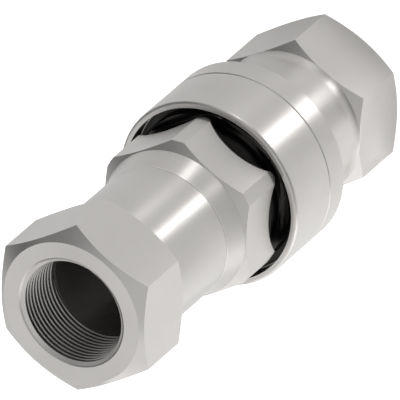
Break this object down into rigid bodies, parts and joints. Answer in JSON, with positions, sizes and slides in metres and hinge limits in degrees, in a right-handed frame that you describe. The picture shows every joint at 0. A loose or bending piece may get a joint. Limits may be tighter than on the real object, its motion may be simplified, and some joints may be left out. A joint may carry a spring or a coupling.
{
  "type": "quick coupling",
  "caption": "Hydraulic ball-lock quick coupling, coupled, in bright plated steel with hexagon ends, female pipe threads and a pull-back sleeve",
  "frame": {"origin": "centre of the coupler half's port face, on the coupling's axis", "axes": "+Z along the axis towards the nipple half, +X through one corner of every hexagon"},
  "size_m": [0.084, 0.084, 0.2125],
  "materials": {
    "zinc_plated_steel": "satin",
    "machined_steel": "satin",
    "hardened_steel": "polished",
    "spring_steel": "satin",
    "seal_rubber": "matte",
    "white_ptfe": "matte"
  },
  "bodies": {
    "coupler": {"coupler_adapter": "zinc_plated_steel", "coupler_adapter_seal": "seal_rubber", "coupler_body": "zinc_plated_steel", "coupler_valve_guide": "machined_steel", "coupler_valve_spring": "spring_steel", "locking_balls": "hardened_steel", "nose_backup_ring": "white_ptfe", "nose_seal": "seal_rubber", "sleeve_stop_ring": "spring_steel", "sleeve_spring": "spring_steel"},
    "coupler_valve": {"coupler_poppet": "machined_steel", "coupler_poppet_seal": "seal_rubber"},
    "sleeve": {"sleeve": "zinc_plated_steel", "sleeve_rear_ring": "zinc_plated_steel"},
    "nipple": {"nipple_adapter": "zinc_plated_steel", "nipple_adapter_seal": "seal_rubber", "nipple_body": "zinc_plated_steel", "nipple_guide_ring": "spring_steel", "nipple_valve_guide": "machined_steel", "nipple_valve_spring": "spring_steel"},
    "nipple_valve": {"nipple_poppet": "machined_steel", "nipple_poppet_seal": "seal_rubber"}
  },
  "joints": [
    {"name": "sleeve_slide", "type": "slide", "parent": "coupler", "child": "sleeve", "axis": [0, 0, 1], "range_m": [-0.008, 0], "stiffness_N_per_m": 2500, "springref_m": 0.012, "deforming": ["sleeve_spring"]},
    {"name": "nipple_swivel", "type": "hinge", "parent": "coupler", "child": "nipple", "pos_m": [0, 0, 0.088], "axis": [0, 0, 1], "continuous": true},
    {"name": "coupler_valve_slide", "type": "slide", "parent": "coupler", "child": "coupler_valve", "axis": [0, 0, 1], "range_m": [-0.0056, 0.0056], "stiffness_N_per_m": 3000, "deforming": ["coupler_valve_spring"]},
    {"name": "nipple_valve_slide", "type": "slide", "parent": "nipple", "child": "nipple_valve", "axis": [0, 0, 1], "range_m": [-0.0056, 0.0056], "stiffness_N_per_m": 3000, "deforming": ["nipple_valve_spring"]}
  ],
  "couplings": [
    {"joint": "nipple_valve_slide", "follows": "coupler_valve_slide", "ratio": 1}
  ]
}
